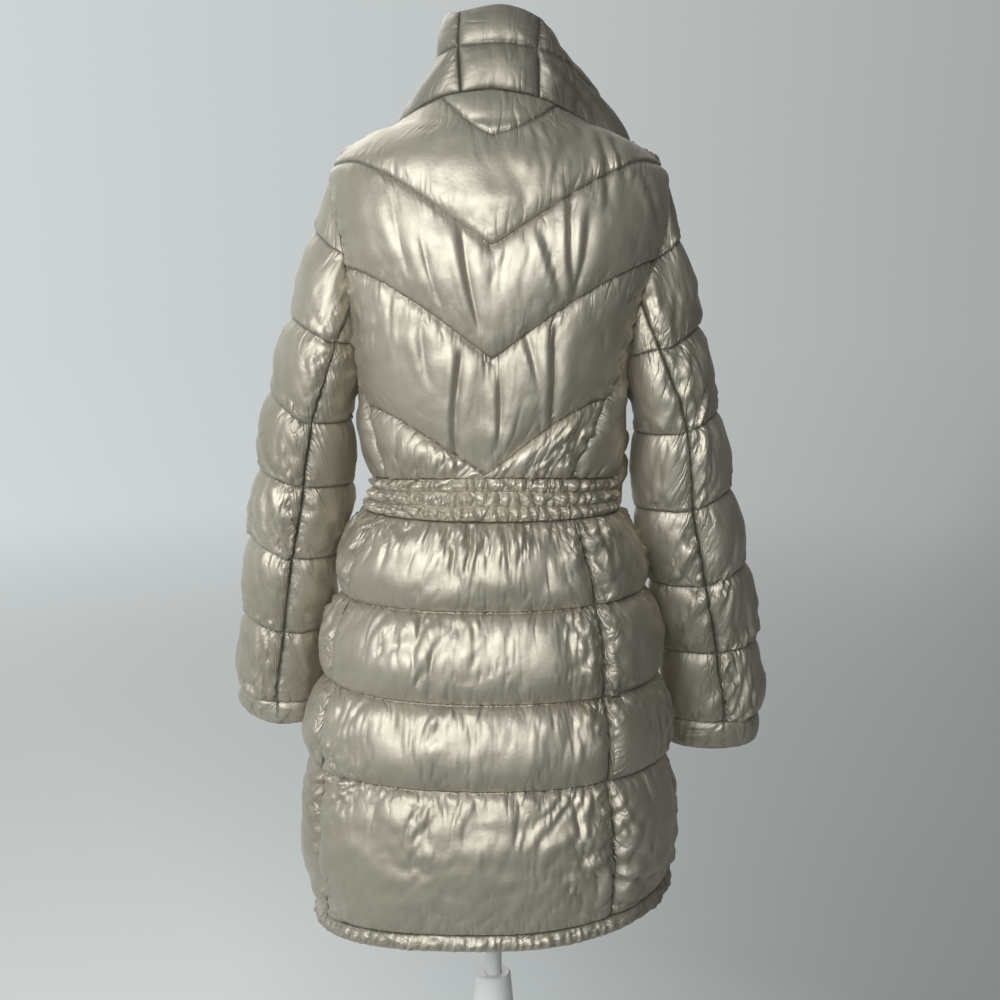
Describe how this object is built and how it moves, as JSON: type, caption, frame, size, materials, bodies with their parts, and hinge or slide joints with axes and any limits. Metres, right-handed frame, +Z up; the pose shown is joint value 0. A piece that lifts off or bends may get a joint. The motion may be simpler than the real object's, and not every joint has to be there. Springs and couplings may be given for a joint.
{
  "type": "long puffer coat on a limbless dress form with stand",
  "caption": "Long quilted puffer coat with a chevron back, shirred waistband, high collar and front zip, filled out on a limbless dress form that stands on a disc base.",
  "frame": {"origin": "centre of the flat underside of the stand's base disc", "axes": "+Z up along the pole, the coat's front and zip face -Y, its back faces +Y, and the wearer's left arm is at +X"},
  "size_m": [0.6262, 0.356, 1.5307],
  "materials": {
    "nylon": "satin",
    "zip_metal": "satin",
    "form_cover": "matte",
    "cap_plastic": "satin",
    "stand_enamel": "gloss"
  },
  "bodies": {
    "coat": {"back_bodice": "nylon", "side_bodice_left": "nylon", "side_bodice_right": "nylon", "waistband": "nylon", "skirt_back": "nylon", "skirt_side_left": "nylon", "skirt_side_right": "nylon", "hem_band": "nylon", "skirt_front_left": "nylon", "skirt_front_right": "nylon", "front_left": "nylon", "front_right": "nylon", "sleeve_outer_left": "nylon", "sleeve_outer_right": "nylon", "sleeve_under_left": "nylon", "sleeve_under_right": "nylon", "cuff_left": "nylon", "cuff_right": "nylon", "collar_back": "nylon", "collar_left": "nylon", "collar_right": "nylon", "zip_chain": "zip_metal", "zip_slider": "zip_metal", "form_torso": "form_cover", "form_neck_cap": "cap_plastic", "form_pole": "stand_enamel", "form_clamp": "stand_enamel", "form_tube": "stand_enamel", "form_base": "stand_enamel"},
    "pull_tab": {"zip_pull": "zip_metal"}
  },
  "joints": [
    {"name": "pull_tab_hinge", "type": "hinge", "parent": "coat", "child": "pull_tab", "pos_m": [0, -0.12329, 1.32899], "axis": [-1, 0, 0], "range_deg": [0, 150]}
  ]
}
